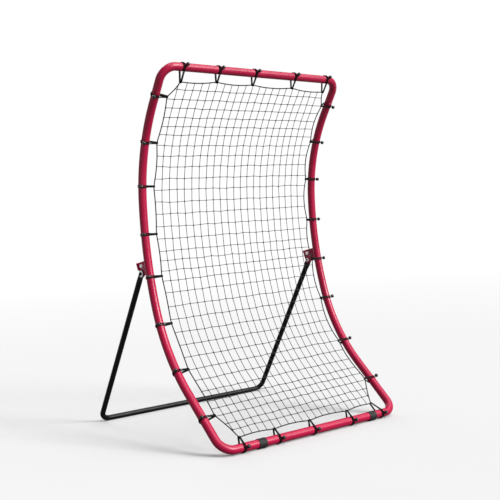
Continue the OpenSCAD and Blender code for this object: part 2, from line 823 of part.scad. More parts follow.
top_rail();
bottom_rail();
left_upper_side_tube();
right_upper_side_tube();
left_lower_side_tube();
right_lower_side_tube();
left_bracket();
right_bracket();
bracket_bolts();
bracket_bolt_nuts();
pivot_bolts();
pivot_washers();
pivot_nuts();
left_leg();
right_leg();
rear_bar();
foot_sleeve(sleeve_in - side_x + sleeve_slip);  // left_foot_sleeve
foot_sleeve(side_x - sleeve_in + sleeve_slip);  // right_foot_sleeve
left() frame_button(top_joint);  // top_left_button
frame_button(top_joint);  // top_right_button
left() frame_button(mid_joint);  // middle_left_button
frame_button(mid_joint);  // middle_right_button
left() frame_button(arm_len);  // bottom_left_button
frame_button(arm_len);  // bottom_right_button
left() rear_right_button();  // rear_left_button
rear_right_button();
left() frame_spring(top_joint);  // top_left_button_spring
frame_spring(top_joint);  // top_right_button_spring
left() frame_spring(mid_joint);  // middle_left_button_spring
frame_spring(mid_joint);  // middle_right_button_spring
left() frame_spring(arm_len);  // bottom_left_button_spring
frame_spring(arm_len);  // bottom_right_button_spring
left() rear_right_button_spring();  // rear_left_button_spring
rear_right_button_spring();
net();
border_rope();
top_loops();
bottom_loops();
side_loops(left_tips);  // left_loops
left() side_loops(right_tips);  // right_loops
top_loop_balls();
bottom_loop_balls();
side_loop_balls(left_tips);  // left_loop_balls
left() side_loop_balls(right_tips);  // right_loop_balls
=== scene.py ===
"""Pitching rebound net: the net, its rope, loops and balls, and every finish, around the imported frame."""
import json
import math

import bmesh
import bpy
import numpy as np
from mathutils import Matrix, Vector

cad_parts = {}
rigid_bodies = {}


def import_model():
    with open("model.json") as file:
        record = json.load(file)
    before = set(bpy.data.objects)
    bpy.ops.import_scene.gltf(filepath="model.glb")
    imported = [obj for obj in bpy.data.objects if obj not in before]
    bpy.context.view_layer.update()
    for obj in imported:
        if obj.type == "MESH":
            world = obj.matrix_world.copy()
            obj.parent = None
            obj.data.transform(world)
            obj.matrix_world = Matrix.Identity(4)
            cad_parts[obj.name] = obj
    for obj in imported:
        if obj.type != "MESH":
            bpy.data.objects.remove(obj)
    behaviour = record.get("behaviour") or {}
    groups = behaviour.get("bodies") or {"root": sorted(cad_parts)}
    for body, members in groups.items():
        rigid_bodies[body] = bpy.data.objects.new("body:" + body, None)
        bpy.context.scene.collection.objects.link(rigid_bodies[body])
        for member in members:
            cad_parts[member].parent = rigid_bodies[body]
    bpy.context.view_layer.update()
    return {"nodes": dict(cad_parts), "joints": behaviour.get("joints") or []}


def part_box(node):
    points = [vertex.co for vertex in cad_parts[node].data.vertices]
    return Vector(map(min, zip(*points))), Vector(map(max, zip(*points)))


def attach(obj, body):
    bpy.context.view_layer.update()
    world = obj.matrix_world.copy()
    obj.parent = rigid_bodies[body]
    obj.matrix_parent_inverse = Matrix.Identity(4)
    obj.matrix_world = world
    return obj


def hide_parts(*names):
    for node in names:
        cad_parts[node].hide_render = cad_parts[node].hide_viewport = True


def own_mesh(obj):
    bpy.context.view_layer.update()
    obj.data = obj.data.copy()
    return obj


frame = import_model()

bl_info = {
    "name": "Rebound net",
    "version": (1, 0, 0),
    "blender": (4, 5, 0),
    "location": "View3D > Sidebar > Rebound net",
    "description": "Makes the net, its fittings and the finishes of a pitching rebound net",
    "category": "Object",
}

# The frame's sizes, in metres, as the CAD source has them
TUBE_R, TUBE_WALL = 0.016, 0.0012
CORNER_R = 0.055
ARM_LEN = 0.100
MID_JOINT = 0.850
SPIGOT_LEN = 0.040
FIT_GAP = 0.0001
BUTTON_HOLE_R = 0.0036
NET_FORWARD = 0.012
SIDE_REACH = 0.044
TOP_REACH = 0.044
BOTTOM_REACH = 0.036
CORNER_REACH = 0.010
LOOP_R = 0.01765         # centreline of the cord around a tube
ROPE_LOOP_R = 0.0043     # centreline of the cord around the rope
STRAND_OFF = 0.0031      # from a loop's middle to each of its two strands
CORD_FLAT = 0.76         # the elastic cord's height as a share of its width
# A ball's middle: its distance from the tube's axis, and along a rail from its loop's middle
SIDE_BALL_AT = 0.0269
RAIL_BALL_AT, RAIL_BALL_BESIDE = 0.0237, 0.01125
SIDE_BALL_TURN = math.radians(50)
TOP_BALL_TURN = math.radians(20)
BOTTOM_BALL_TURN = math.radians(15)
FOOT_LEN, TIP_LEN = 0.270, 0.152
LOW_BOW_R, TOP_BOW_R = 0.680, 0.680
LEANS = np.radians([47, 47, 16, -1, -33, -33])

RAIL_LOW, RAIL_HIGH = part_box("bottom_rail")
SIDE_X = RAIL_HIGH.x - TUBE_R
RAIL_Y = RAIL_LOW.y + TUBE_R
RAIL_Z = RAIL_LOW.z + TUBE_R
TOP_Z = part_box("top_rail")[1].z - TUBE_R
SINES, COSINES = np.sin(LEANS), np.cos(LEANS)
MID_BOW_R = (TOP_Z - RAIL_Z - FOOT_LEN * COSINES[1] - LOW_BOW_R * (SINES[1] - SINES[2])
             - TOP_BOW_R * (SINES[3] - SINES[4]) - TIP_LEN * COSINES[5]) / (SINES[2] - SINES[3])
STRETCHES = [FOOT_LEN, LOW_BOW_R * (LEANS[1] - LEANS[2]), MID_BOW_R * (LEANS[2] - LEANS[3]),
             TOP_BOW_R * (LEANS[3] - LEANS[4]), TIP_LEN]
BREAKS = np.concatenate([[0], np.cumsum(STRETCHES)])
SIDE_LEN = BREAKS[-1]
ALONG = np.linspace(0, SIDE_LEN, 16001)      # the places of the running totals up the side
ROPE_X = SIDE_X - SIDE_REACH
X_AXIS = np.array([1.0, 0, 0])

# Places of the loops, up each side from the bottom rail and across each rail
LEFT_LOOPS = np.concatenate([[0.146, 0.365, 0.564, 0.754],
                             SIDE_LEN - np.array([0.665, 0.478, 0.306, 0.117])])
RIGHT_LOOPS = np.concatenate([[0.167, 0.380, 0.592, 0.771],
                              SIDE_LEN - np.array([0.636, 0.454, 0.284, 0.114])])
TOP_LOOPS = np.array([-0.357, -0.191, -0.012, 0.196, 0.373])
BOTTOM_LOOPS = np.array([-0.352, -0.188, -0.012, 0.188, 0.357])
# The share of the corner reach that each rail loop gives, and how far its tip is pulled to the right
TOP_SHARES, TOP_SLANTS = np.array([1, 0, 0, 0, 0.7]), np.array([0.002, 0.001, 0, 0, 0])
BOTTOM_SHARES, BOTTOM_SLANTS = np.array([0, 0, 0, 0.2, 1]), np.array([0, 0, 0, 0, -0.024])

# How far the rope is drawn in between two loops, span by span
LEFT_SAGS = np.array([0.006, 0.006, 0.005, 0.006, 0.006, 0.010, 0.011])
RIGHT_SAGS = np.array([0.008, 0.010, 0.011, 0.012, 0.012, 0.011, 0.010])
TOP_SAGS = np.array([0.006, 0.007, 0.008, 0.007])
BOTTOM_SAGS = np.array([0.006, 0.007, 0.008, 0.006])
CORNER_SAG = 0.004

# The net's rows of knots, up the side at mid width
ROWS = np.array([
    0.080, 0.113, 0.153, 0.189, 0.223, 0.270, 0.323, 0.373, 0.425, 0.478, 0.530, 0.585, 0.638, 0.693, 0.740,
    0.780, 0.820, 0.858, 0.905, 0.953, 1.003, 1.050, 1.098, 1.143, 1.190, 1.233, 1.275, 1.318, 1.353, 1.390,
    1.428, 1.465, 1.503])
TILT_AT = [0.05, 0.11, 0.25, 0.50, 1.40, 1.54]
TILT_RISE = [0.002, 0.010, 0.013, 0.007, 0.0065, 0.003]


def broken_line_sum(wave):
    """Running total of the wave's value along the side, by the trapezium rule."""
    values = wave(np.interp(ALONG, BREAKS, LEANS))
    return np.concatenate([[0], np.cumsum((values[1:] + values[:-1]) / 2) * (ALONG[1] - ALONG[0])])


AXIS_Y = RAIL_Y + broken_line_sum(np.sin)
AXIS_Z = RAIL_Z + broken_line_sum(np.cos)


def side_point(x, s, forward=0.0):
    """Point across at x and s up the side: the tube's axis there, moved square to it to the front.
    The lean is a broken line of s, and the axis is the running total of the lean's sine and cosine."""
    x, s, forward = np.broadcast_arrays(x, s, forward)
    lean = np.interp(s, BREAKS, LEANS)
    y = np.interp(s, ALONG, AXIS_Y) - forward * np.cos(lean)
    z = np.interp(s, ALONG, AXIS_Z) + forward * np.sin(lean)
    return np.stack([x, y, z], -1)


def side_forward(s):
    """Unit direction square to the side and to the front, at s."""
    return np.cross(X_AXIS, side_up(s))


def side_up(s):
    """Unit direction up along the side, at s."""
    lean = np.interp(s, BREAKS, LEANS)
    return np.stack([np.zeros_like(lean), np.sin(lean), np.cos(lean)], -1)


# ---- meshes ----

def unit(v):
    """Each vector over its own length."""
    return v / np.linalg.norm(v, axis=-1, keepdims=True)


def turns(sides):
    """A full circle's angles in equal steps, from nought."""
    return np.arange(sides) * 2 * np.pi / sides


def grid(points, closed_rows, closed_columns, uv_scale, capped=False):
    """Faces over a stack of grids of points. Corner (i, j) joins i + 1 and j + 1, and a closed direction
    joins its last line to its first. A capped grid has its first and last rows filled. The map's u is the
    row and its v the column, each times its scale."""
    count, rows, columns = points.shape[:3]
    spans = rows - (not closed_rows), columns - (not closed_columns)
    i, j = np.indices(spans).reshape(2, -1)
    corners_i = np.stack([i, i, i + 1, i + 1], -1)
    corners_j = np.stack([j, j + 1, j + 1, j], -1)
    quads = (corners_i % rows) * columns + corners_j % columns
    uv = np.stack([corners_i * uv_scale[0], corners_j * uv_scale[1]], -1)
    start = (np.arange(count) * rows * columns)[:, None, None]
    quads = (quads[None] + start).reshape(-1, 4)
    uv = np.broadcast_to(uv[None], (count,) + uv.shape).reshape(-1, 2)
    faces = quads.tolist()
    if capped:
        ring = np.arange(columns)
        first = ring[::-1][None] + start[:, 0]
        last = (rows - 1) * columns + ring[None] + start[:, 0]
        faces += first.tolist() + last.tolist()
        uv = np.concatenate([uv, np.zeros((2 * count * columns, 2))])
    return points.reshape(-1, 3), faces, uv


def tube(path, square, radius, sides, closed=False, flat=1.0):
    """Tubes along a stack of paths. Each ring is the point plus the radius times the cosine and sine of an
    angle on two directions square to the path: the given one made square, and the one across both. The
    sine is taken times flat, so less than 1 gives an oval that is wider on the given direction."""
    ahead = np.roll(path, -1, 1) - np.roll(path, 1, 1)
    if not closed:
        ahead[:, 0] = path[:, 1] - path[:, 0]
        ahead[:, -1] = path[:, -1] - path[:, -2]
    ahead = unit(ahead)
    square = np.broadcast_to(square, path.shape)
    across = unit(np.cross(ahead, square))
    square = np.cross(across, ahead)
    angle = turns(sides)
    radius = np.broadcast_to(np.asarray(radius, float), path.shape[:2])[..., None, None]
    ring = np.cos(angle)[:, None] * square[:, :, None] + flat * np.sin(angle)[:, None] * across[:, :, None]
    points = path[:, :, None] + radius * ring
    run = np.linalg.norm(np.diff(path, axis=1), axis=-1).mean() / (2 * np.pi * radius.mean())
    return grid(points, closed, True, (run, 1 / sides), capped=not closed)


def lathe(centre, axis, profile, sides):
    """Round bodies about their axes. The profile's rows are a distance along the axis and a radius, and
    each is turned round a full circle. The first and last rows are filled."""
    other = np.where(np.abs(axis[:, :1]) > 0.9, [0, 0, 1.0], X_AXIS)
    p = unit(np.cross(axis, other))
    q = np.cross(axis, p)
    angle = turns(sides)
    ring = np.cos(angle)[:, None] * p[:, None] + np.sin(angle)[:, None] * q[:, None]
    points = (centre[:, None, None] + profile[None, :, None, :1] * axis[:, None, None]
              + profile[None, :, None, 1:] * ring[:, None])
    run = np.linalg.norm(np.diff(profile, axis=0), axis=-1).mean() / (2 * np.pi * profile[:, 1].max())
    return grid(points, False, True, (run, 1 / sides), capped=True)


def join(*parts):
    """One set of points, faces and map from several."""
    points, faces, uvs, start = [], [], [], 0
    for p, f, uv in parts:
        points.append(p)
        faces += [[k + start for k in face] for face in f] if start else f
        uvs.append(uv)
        start += len(p)
    return np.concatenate(points), faces, np.concatenate(uvs)


def placed(name, data):
    """A new object of the scene, at the origin."""
    made = bpy.data.objects.new(name, data)
    bpy.context.scene.collection.objects.link(made)
    return made


def shell(name, points, faces):
    """A new mesh object from points and faces."""
    mesh = bpy.data.meshes.new(name)
    mesh.from_pydata(points.tolist(), [], faces)
    return placed(name, mesh)


def smooth(mesh, material):
    """Smooth shading and one material over the whole mesh."""
    mesh.polygons.foreach_set("use_smooth", np.ones(len(mesh.polygons), bool))
    mesh.materials.clear()
    mesh.materials.append(material)


def assign(made, body, node):
    """Lets a piece ride on its body, in place of its CAD node."""
    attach(made, body)
    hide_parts(node)


def piece(name, part, material, body, node, holes=(), crease=None):
    """Puts a part into the scene as a smooth piece with its map and material, riding on its body. Holes are
    round cuts, each a start, an end and a radius, and edges sharper than the crease angle stay sharp."""
    points, faces, uv = part
    made = shell(name, points, faces)
    layer = made.data.uv_layers.new(name="along")
    layer.data.foreach_set("uv", uv.astype(np.float32).ravel())
    smooth(made.data, material)
    made.data.update()
    if holes:
        drill(made, holes)
    if crease is not None:
        made.data.set_sharp_from_angle(angle=crease)
    assign(made, body, node)


def drill(made, holes):
    """Cuts round holes through a piece: rods from each start to its end, taken away from it."""
    rods = []
    for start, end, radius in holes:
        profile = np.array([[0, radius], [np.linalg.norm(end - start), radius]])
        rods.append(lathe(start[None], unit(end - start)[None], profile, sides=40))
    points, faces, _ = join(*rods)
    rod = shell("rods", points, faces)
    cut = made.modifiers.new("cut", "BOOLEAN")
    cut.object, cut.solver, cut.operation = rod, "EXACT", "DIFFERENCE"
    graph = bpy.context.evaluated_depsgraph_get()
    done = bpy.data.meshes.new_from_object(made.evaluated_get(graph))
    made.modifiers.clear()
    made.data = done
    bpy.data.objects.remove(rod)


# ---- materials ----

def linear(colour):
    """Screen colour turned into light, by the power law that screens use."""
    return [c / 12.92 if c <= 0.04045 else ((c + 0.055) / 1.055) ** 2.4 for c in colour[:3]] + [1.0]


def add_node(tree, kind, **inputs):
    """A new node. A key names an input, or numbers it after an i, or names a setting after set_. A value
    is a constant or another node's output."""
    node = tree.nodes.new("ShaderNode" + kind)
    for key, value in inputs.items():
        if key.startswith("set_"):
            setattr(node, key[4:], value)
            continue
        numbered = key[0] == "i" and key[1:].isdigit()
        socket = node.inputs[int(key[1:]) if numbered else key.replace("_", " ")]
        if hasattr(value, "links"):
            tree.links.new(value, socket)
        else:
            socket.default_value = value
    return node


class Finish:
    """A material under construction, with short calls for the nodes that it uses."""

    def __init__(self, name, **sockets):
        self.material = bpy.data.materials.new(name)
        self.material.use_nodes = True
        self.tree = self.material.node_tree
        self.shader = self.tree.nodes["Principled BSDF"]
        self.coords = self.tree.nodes.new("ShaderNodeTexCoord")
        for socket, value in sockets.items():
            self.shader.inputs[socket.replace("_", " ")].default_value = value

    def add(self, kind, **inputs):
        return add_node(self.tree, kind, **inputs)

    def noise(self, scale, detail):
        """Cloudy noise in the object's own space, from 0 to 1."""
        return self.add("TexNoise", Vector=self.coords.outputs["Object"], Scale=scale,
                        Detail=detail).outputs["Fac"]

    def maths(self, kind, a, b=0.0):
        return self.add("Math", set_operation=kind, i0=a, i1=b).outputs[0]

    def spread(self, value, low, high, new_low, new_high):
        """The value stretched from one range to another and held inside it."""
        return self.add("MapRange", Value=value, From_Min=low, From_Max=high, To_Min=new_low,
                        To_Max=new_high).outputs[0]

    def clouds(self, scale, detail, low, high, contrast=0.2):
        """Noise whose reach about its middle, as wide each way as the contrast, spans the given range."""
        return self.spread(self.noise(scale, detail), 0.5 - contrast, 0.5 + contrast, low, high)

    def between(self, share, dark, light):
        """A colour between two, by the share."""
        return self.add("Mix", set_data_type="RGBA", i0=share, i6=dark, i7=light).outputs[2]

    def colour(self, value):
        self.tree.links.new(value, self.shader.inputs["Base Color"])

    def bump(self, height, depth, strength):
        made = self.add("Bump", Height=height, Distance=depth, Strength=strength)
        self.tree.links.new(made.outputs[0], self.shader.inputs["Normal"])

    def surface(self, colour, shades, dullness, grain, contrast=0.2):
        """Cloudy colour, uneven dullness and a fine grain, each from its own noise of a scale and a detail.
        Then come the darkest and lightest share, the least and most roughness, the depth and strength."""
        scale, detail, dark, light = shades
        share = self.clouds(scale, detail, 0, 1, contrast)
        self.colour(self.between(share, shade(colour, dark), shade(colour, light)))
        self.tree.links.new(self.clouds(*dullness), self.shader.inputs["Roughness"])
        scale, detail, depth, strength = grain
        self.bump(self.noise(scale, detail), depth, strength)

    def ridges(self, around, slope, braided):
        """Slanting ridges round a cord: the sine of the turn plus the length. A braid has a second set,
        the sine of the turn less the length, and takes the greater of both."""
        place = self.add("SeparateXYZ", Vector=self.coords.outputs["UV"])
        turn = self.maths("MULTIPLY", place.outputs["Y"], around * 2 * math.pi)
        run = self.maths("MULTIPLY", place.outputs["X"], slope * 2 * math.pi)
        right = self.maths("SINE", self.maths("ADD", turn, run))
        if not braided:
            return right
        return self.maths("MAXIMUM", right, self.maths("SINE", self.maths("SUBTRACT", turn, run)))


def shade(colour, factor):
    """A screen colour's light, times the factor."""
    return [c * factor for c in linear(colour)[:3]] + [1.0]


def powder_coat(name, colour, roughness, gloss):
    """Baked powder paint: a little cloudy, with a soft broad gloss and the fine orange-peel skin."""
    made = Finish(name, Specular_IOR_Level=gloss)
    made.surface(colour, shades=(9.0, 3.0, 0.92, 1.06),
                 dullness=(60.0, 2.0, roughness - 0.04, roughness + 0.05), grain=(700.0, 1.0, 0.00025, 0.35))
    return made.material


def plated(name, colour, roughness, metal=1.0, painted_glow=0.0):
    """Plated steel: bright metal with a cloudy dullness and faint marks. Less metal gives a milky plate,
    and a little emission, a painted reflection, stands in for the bright surroundings that its shaded faces
    would mirror."""
    # Painted reflection: the emission lights shaded faces, though the plate is no lamp.
    made = Finish(name, Metallic=metal, Emission_Color=(0.9, 0.93, 1.0, 1.0), Emission_Strength=painted_glow)
    made.surface(colour, shades=(160.0, 4.0, 0.8, 1.1), contrast=0.15,
                 dullness=(220.0, 3.0, roughness - 0.08, roughness + 0.1), grain=(900.0, 2.0, 0.0001, 0.3))
    return made.material


def rubber(name, colour):
    """Dull rubber: fine grain and a dusty, uneven black."""
    made = Finish(name, Specular_IOR_Level=0.35)
    made.surface(colour, shades=(40.0, 5.0, 0.75, 1.3), dullness=(90.0, 2.0, 0.55, 0.72),
                 grain=(1400.0, 3.0, 0.0003, 0.5))
    return made.material


def moulded(name, colour):
    """Moulded plastic: a soft gloss with shallow flow marks."""
    made = Finish(name, Specular_IOR_Level=0.5, Coat_Weight=0.2, Coat_Roughness=0.1)
    made.surface(colour, shades=(80.0, 3.0, 0.85, 1.2), dullness=(150.0, 2.0, 0.13, 0.22),
                 grain=(500.0, 2.0, 0.0001, 0.2))
    return made.material


def cord_cloth(name, colour, fleck, around, slope, depth, braided, gloss=0.3):
    """Cord with a cloth surface: ridges of its lay or braid, with painted shade between them and painted
    light on their tops, and a few pale yarns.
    """
    made = Finish(name, Roughness=0.75, Specular_IOR_Level=gloss, Sheen_Weight=gloss / 2,
                  Sheen_Roughness=0.5)
    height = made.spread(made.ridges(around, slope, braided), -1, 1, 0, 1)
    # Painted shade and light: the colour is darker down in the grooves and lighter on the ridges' tops.
    painted_ridge_shade = made.between(height, shade(colour, 0.55), shade(colour, 1.15))
    pale = made.spread(made.noise(420.0, 2.0), 0.6, 0.66, 0, 1)
    made.colour(made.between(made.maths("MULTIPLY", pale, height), painted_ridge_shade, linear(fleck)))
    made.bump(height, depth, 0.8)
    return made.material


# ---- sizes and colours that a user may change ----

def length(name, description, default, least, most):
    return bpy.props.FloatProperty(name=name, description=description, default=default, min=least, max=most,
                                   unit="LENGTH", precision=4)


def tint(name, description, default):
    return bpy.props.FloatVectorProperty(name=name, description=description, default=default, min=0, max=1,
                                         size=3, subtype="COLOR_GAMMA")


class NetSizes(bpy.types.PropertyGroup):
    """Sizes of the net and of its border rope"""
    columns: bpy.props.IntProperty(name="Columns", description="Meshes across the net", default=22,
                                   min=6, max=30)
    left_edge: length("Left edge", "Distance of the net's left edge from the middle", 0.395, 0.3, 0.42)
    right_edge: length("Right edge", "Distance of the net's right edge from the middle", 0.380, 0.3, 0.42)
    twine: length("Twine", "Thickness of the net's twine", 0.0024, 0.001, 0.004)
    knot: length("Knot", "Width of the net's knots", 0.0062, 0.003, 0.008)
    slack: length("Slack", "How far a knot strays from its even place", 0.0018, 0.0, 0.004)
    rope: length("Rope", "Thickness of the border rope", 0.0043, 0.003, 0.007)


class LoopSizes(bpy.types.PropertyGroup):
    """Sizes of the elastic loops and their balls"""
    cord: length("Cord", "Width of the elastic cord, which is a little flat", 0.0042, 0.002, 0.005)
    ball: length("Ball", "Diameter of the balls", 0.015, 0.012, 0.018)


class Colours(bpy.types.PropertyGroup):
    """Colours of the finishes"""
    frame: tint("Frame", "Colour of the frame's paint", (0.70, 0.02, 0.245))
    legs: tint("Legs", "Colour of the legs' paint", (0.03, 0.03, 0.033))
    twine: tint("Twine", "Colour of the net", (0.06, 0.06, 0.065))
    rope: tint("Rope", "Colour of the border rope", (0.06, 0.06, 0.065))
    cord: tint("Cord", "Colour of the elastic cord", (0.03, 0.03, 0.033))
    ball: tint("Balls", "Colour of the balls", (0.11, 0.11, 0.115))
    sleeve: tint("Sleeves", "Colour of the rubber sleeves", (0.12, 0.12, 0.125))
    backdrop: tint("Floor", "Colour of the floor", (0.82, 0.82, 0.82))


# ---- frame tubes ----

BORE_R = TUBE_R - TUBE_WALL
SPIGOT_R = BORE_R - FIT_GAP
SPIGOT_BORE_R = SPIGOT_R - TUBE_WALL
NECK = 2 * TUBE_WALL
TUBE_EDGE = 0.0005
TUBE_SIDES = 48
TUBE_STEP = 0.008
CREASE = math.radians(38)
ROW_MAP = 0.08           # how far a tube's map runs from one ring to the next
BUTTON_CUT = 1.5         # how far a button's cut reaches from the tube's axis, in its radii
TOP_JOINT = SIDE_LEN - ARM_LEN
RAIL_HALF = SIDE_X - CORNER_R
RAIL_REACH = RAIL_HALF + CORNER_R * math.pi / 2 + ARM_LEN - CORNER_R


def tube_end(t, way, spigot):
    """A tube's end as (place along it, radius), from the skin to the bore: a broken edge, and on a swaged
    end the spigot that reaches into the next tube."""
    skin = [(t - way * TUBE_EDGE, TUBE_R), (t, TUBE_R - TUBE_EDGE)]
    if not spigot:
        return skin + [(t, BORE_R)]
    tip = t + way * SPIGOT_LEN
    return skin + [(t, SPIGOT_R), (tip - way * TUBE_EDGE, SPIGOT_R), (tip, SPIGOT_R - TUBE_EDGE),
                   (tip, SPIGOT_BORE_R), (t - way * NECK, SPIGOT_BORE_R), (t - way * NECK, BORE_R)]


def tube_outline(start, end, start_spigot, end_spigot):
    """The closed outline of a tube's wall, cut along its length: the skin, one end, the bore, the other."""
    inside = np.linspace(start, end, int((end - start) / TUBE_STEP))[1:-1]
    skin = np.stack([inside, np.full(len(inside), TUBE_R)], -1)
    bore = np.stack([inside[::-1], np.full(len(inside), BORE_R)], -1)
    return np.concatenate([skin, tube_end(end, 1, end_spigot), bore, tube_end(start, -1, start_spigot)[::-1]])


def rings(point_of, square, outline, sides=TUBE_SIDES):
    """Rings of points round a way. The outline's rows are a place along the way, the ring's half width on
    the square direction, its half width across it, and a power: the cosine and the sine of the turn are
    raised to two over the power, so 2 gives an ellipse and more gives a fuller, flatter ring."""
    t, wide, thick, power = outline.T
    step = 1e-4
    ahead = unit(point_of(t + step) - point_of(t - step))
    across = unit(np.cross(ahead, square(t)))
    square = np.cross(across, ahead)
    angle = turns(sides)
    bend = 2 / power[:, None]
    on_square = wide[:, None] * np.sign(np.cos(angle)) * np.abs(np.cos(angle)) ** bend
    on_across = thick[:, None] * np.sign(np.sin(angle)) * np.abs(np.sin(angle)) ** bend
    return (point_of(t)[:, None] + on_square[..., None] * square[:, None]
            + on_across[..., None] * across[:, None])


def round_rows(outline):
    """Rows of (place, radius) as rows of a round ring."""
    return np.column_stack([outline, outline[:, 1], np.full(len(outline), 2.0)])


def pipe(point_of, square, outline):
    """A wall's closed outline carried round a way, as rows of (place, radius)."""
    points = rings(point_of, square, round_rows(outline))
    return grid(points[None], True, True, (ROW_MAP, 1 / TUBE_SIDES))


def bent_way(t, half, bend_r):
    """A bent bar's way as (x, up its arm) from its length, nought in the middle: straight for the half
    length, a quarter turn of the bend's radius, and straight up the arm."""
    turn = np.clip((np.abs(t) - half) / bend_r, 0, np.pi / 2)
    arm = np.maximum(np.abs(t) - half - bend_r * np.pi / 2, 0)
    x = np.sign(t) * (np.minimum(np.abs(t), half) + bend_r * np.sin(turn))
    return x, bend_r * (1 - np.cos(turn)) + arm


def steady(direction):
    """The same direction at every place along a way."""
    return lambda t: np.broadcast_to(direction, (len(t), 3))


def button_holes(*places):
    """Cuts for the snap buttons, backwards out of the side tube's axis at each (x, s)."""
    return [(side_point(x, s), side_point(x, s, -BUTTON_CUT * TUBE_R), BUTTON_HOLE_R) for x, s in places]


def make_tubes(paint):
    """The side tubes, along the side's axis, and the rails. A rail's way is a bent bar's, laid on the side:
    its arms run up from the side's foot, or down from the side's end."""
    across = steady(X_AXIS)
    button = SPIGOT_LEN / 2
    for name, sign in (("left", -1), ("right", 1)):
        x = sign * SIDE_X
        for level, start, end in (("lower", ARM_LEN, MID_JOINT), ("upper", MID_JOINT, TOP_JOINT)):
            node = f"{name}_{level}_side_tube"
            wall = pipe(lambda s: side_point(x, s), across, tube_outline(start, end, False, True))
            piece(node.replace("side", "bowed"), wall, paint, "frame", node,
                  holes=button_holes((x, start + button), (x, end + button)), crease=CREASE)
    for node, s_of, joint, spigot in (("top_rail", lambda up: SIDE_LEN - up, TOP_JOINT + button, False),
                                      ("bottom_rail", lambda up: up, ARM_LEN + button, True)):
        def point_of(t):
            rail_x, up = bent_way(t, RAIL_HALF, CORNER_R)
            return side_point(rail_x, s_of(up))
        front = lambda t: side_forward(s_of(bent_way(t, RAIL_HALF, CORNER_R)[1]))
        wall = pipe(point_of, front, tube_outline(-RAIL_REACH, RAIL_REACH, spigot, spigot))
        piece(node.replace("rail", "bent_rail"), wall, paint, "frame", node,
              holes=button_holes((-SIDE_X, joint), (SIDE_X, joint)), crease=CREASE)


# ---- legs ----

LEG_R, LEG_WALL = 0.011, 0.0012
LEG_BEND_R = 0.040
LEG_SPREAD, LEG_JOINT_IN = 0.871, 0.072
LEG_JOINT_X = SIDE_X - LEG_JOINT_IN
LEG_HALF = SIDE_X - LEG_BEND_R
LEG_BORE_R = LEG_R - LEG_WALL
LEG_SPIGOT_R = LEG_BORE_R - FIT_GAP
LEG_SPIGOT_BORE_R = LEG_SPIGOT_R - LEG_WALL
LEG_BUTTON_HOLE_R = 0.0026
TANG_T, TANG_W, TANG_OVER, TANG_LEN, CRIMP_LEN = 0.003, 0.033, 0.014, 0.020, 0.026
TANG_POWER = 5.0
LEG_SIDES = 36
BOLT_HOLE_R = 0.00405
PIVOT_UP, PIVOT_BACK = 0.778, 0.060
BAR_AXIS = np.array([0, RAIL_Y + LEG_SPREAD, LEG_R])
PIVOT = side_point(0.0, PIVOT_UP, -PIVOT_BACK)
LEG_LEN = np.linalg.norm(PIVOT - BAR_AXIS)
LEG_UP = (PIVOT - BAR_AXIS) / LEG_LEN
LEG_SQUARE = np.cross(X_AXIS, LEG_UP)


def leg_outline():
    """The right leg's rings from the bottom of its bore, down the bore, round the spigot's end, and up the
    skin to the tang's rounded tip. The tube flattens along a smooth step, and the tip is a half circle."""
    arm = LEG_HALF + LEG_BEND_R * (math.pi / 2 - 1)          # the way's length where the arm's height is 0
    crimp = arm + LEG_LEN - TANG_LEN - CRIMP_LEN
    tip = arm + LEG_LEN + TANG_OVER
    spigot = LEG_JOINT_X - SPIGOT_LEN
    bend = np.linspace(LEG_HALF, LEG_HALF + LEG_BEND_R * math.pi / 2, 14)
    inside = [(t, LEG_BORE_R) for t in (crimp - NECK, *bend[::-1], LEG_JOINT_X + NECK)]
    end = [(LEG_JOINT_X + NECK, LEG_SPIGOT_BORE_R), (spigot, LEG_SPIGOT_BORE_R),
           (spigot, LEG_SPIGOT_R - TUBE_EDGE), (spigot + TUBE_EDGE, LEG_SPIGOT_R),
           (LEG_JOINT_X, LEG_SPIGOT_R), (LEG_JOINT_X, LEG_R - TUBE_EDGE), (LEG_JOINT_X + TUBE_EDGE, LEG_R)]
    skin = [(t, LEG_R) for t in bend]
    share = np.linspace(0, 1, 12)
    eased = share * share * (3 - 2 * share)
    flattening = np.column_stack([crimp + share * CRIMP_LEN, LEG_R + eased * (TANG_W / 2 - LEG_R),
                                  LEG_R + eased * (TANG_T / 2 - LEG_R), 2 + eased * (TANG_POWER - 2)])
    turn = np.linspace(0, 1.45, 9)           # stops short of a quarter turn, where the cap closes it
    tang = np.column_stack([tip - TANG_W / 2 * (1 - np.sin(turn)), TANG_W / 2 * np.cos(turn),
                            np.full(len(turn), TANG_T / 2), np.full(len(turn), TANG_POWER)])
    return np.concatenate([round_rows(np.array(inside + end + skin)), flattening, tang])


